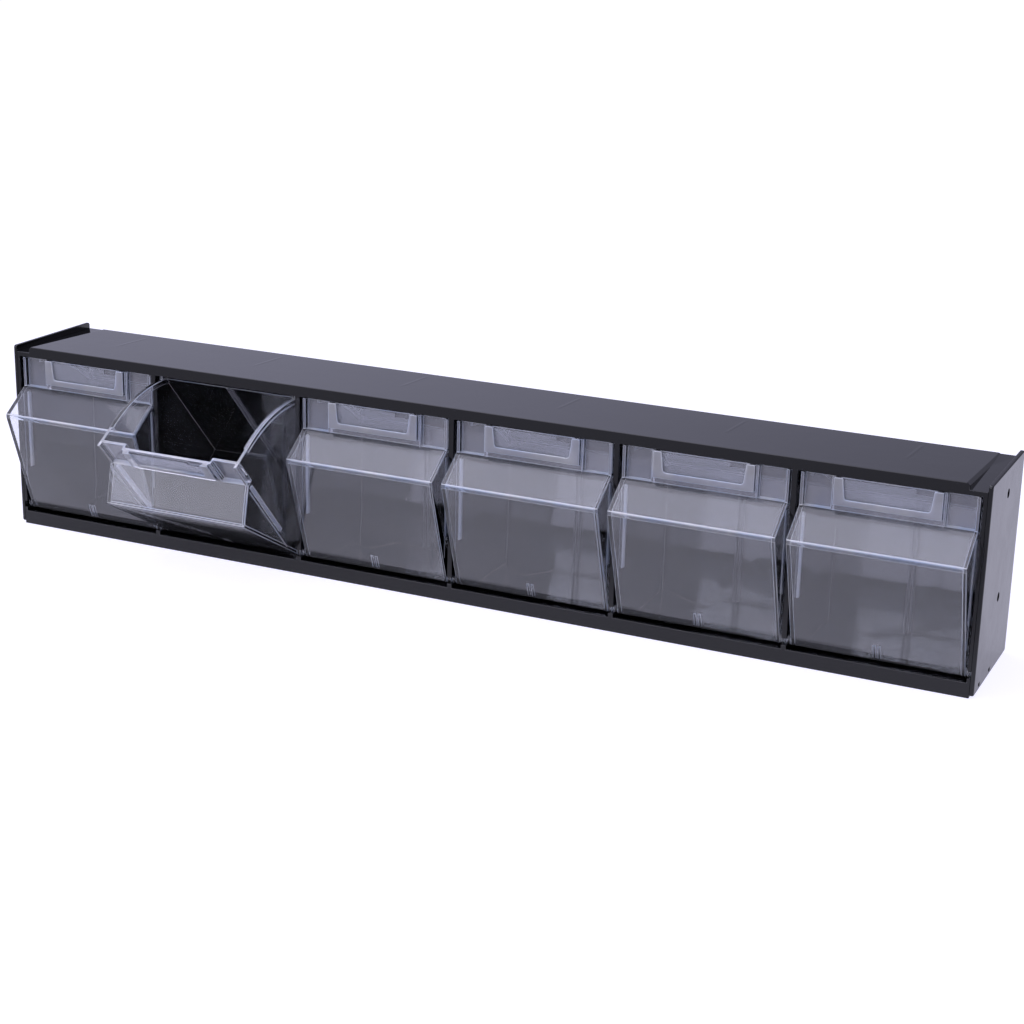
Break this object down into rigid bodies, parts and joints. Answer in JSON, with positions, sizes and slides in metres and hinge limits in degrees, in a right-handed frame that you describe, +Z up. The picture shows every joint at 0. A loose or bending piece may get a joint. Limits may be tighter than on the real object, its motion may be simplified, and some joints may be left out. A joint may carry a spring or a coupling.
{
  "type": "tilt bin organizer",
  "caption": "Long wall or bench organizer with a row of clear bins that tip forward out of a black housing on side trunnions.",
  "frame": {"origin": "middle of the housing's footprint, on its underside", "axes": "+X along the length, to the right seen from the front; the bins open towards -Y; +Z up"},
  "size_m": [0.6, 0.1364, 0.114],
  "materials": {
    "black_plastic": "satin black moulded polystyrene",
    "clear_plastic": "clear moulded polystyrene, faint blue edges",
    "clear_sheet": "clear sheet"
  },
  "bodies": {
    "housing": {"housing": "black_plastic", "end_panel_left": "black_plastic", "end_panel_right": "black_plastic"},
    "bin_1": {"bin_1": "clear_plastic", "label_window_1": "clear_sheet"},
    "bin_2": {"bin_2": "clear_plastic", "label_window_2": "clear_sheet"},
    "bin_3": {"bin_3": "clear_plastic", "label_window_3": "clear_sheet"},
    "bin_4": {"bin_4": "clear_plastic", "label_window_4": "clear_sheet"},
    "bin_5": {"bin_5": "clear_plastic", "label_window_5": "clear_sheet"},
    "bin_6": {"bin_6": "clear_plastic", "label_window_6": "clear_sheet"}
  },
  "joints": [
    {"name": "bin_1_tilt", "type": "hinge", "parent": "housing", "child": "bin_1", "pos_m": [-0.24767, -0.0317, 0.0126], "axis": [1, 0, 0], "range_deg": [0, 41.93]},
    {"name": "bin_2_tilt", "type": "hinge", "parent": "housing", "child": "bin_2", "pos_m": [-0.1486, -0.0317, 0.0126], "axis": [1, 0, 0], "range_deg": [-41.93, 0]},
    {"name": "bin_3_tilt", "type": "hinge", "parent": "housing", "child": "bin_3", "pos_m": [-0.04953, -0.0317, 0.0126], "axis": [1, 0, 0], "range_deg": [0, 41.93]},
    {"name": "bin_4_tilt", "type": "hinge", "parent": "housing", "child": "bin_4", "pos_m": [0.04953, -0.0317, 0.0126], "axis": [1, 0, 0], "range_deg": [0, 41.93]},
    {"name": "bin_5_tilt", "type": "hinge", "parent": "housing", "child": "bin_5", "pos_m": [0.1486, -0.0317, 0.0126], "axis": [1, 0, 0], "range_deg": [0, 41.93]},
    {"name": "bin_6_tilt", "type": "hinge", "parent": "housing", "child": "bin_6", "pos_m": [0.24767, -0.0317, 0.0126], "axis": [1, 0, 0], "range_deg": [0, 41.93]}
  ]
}
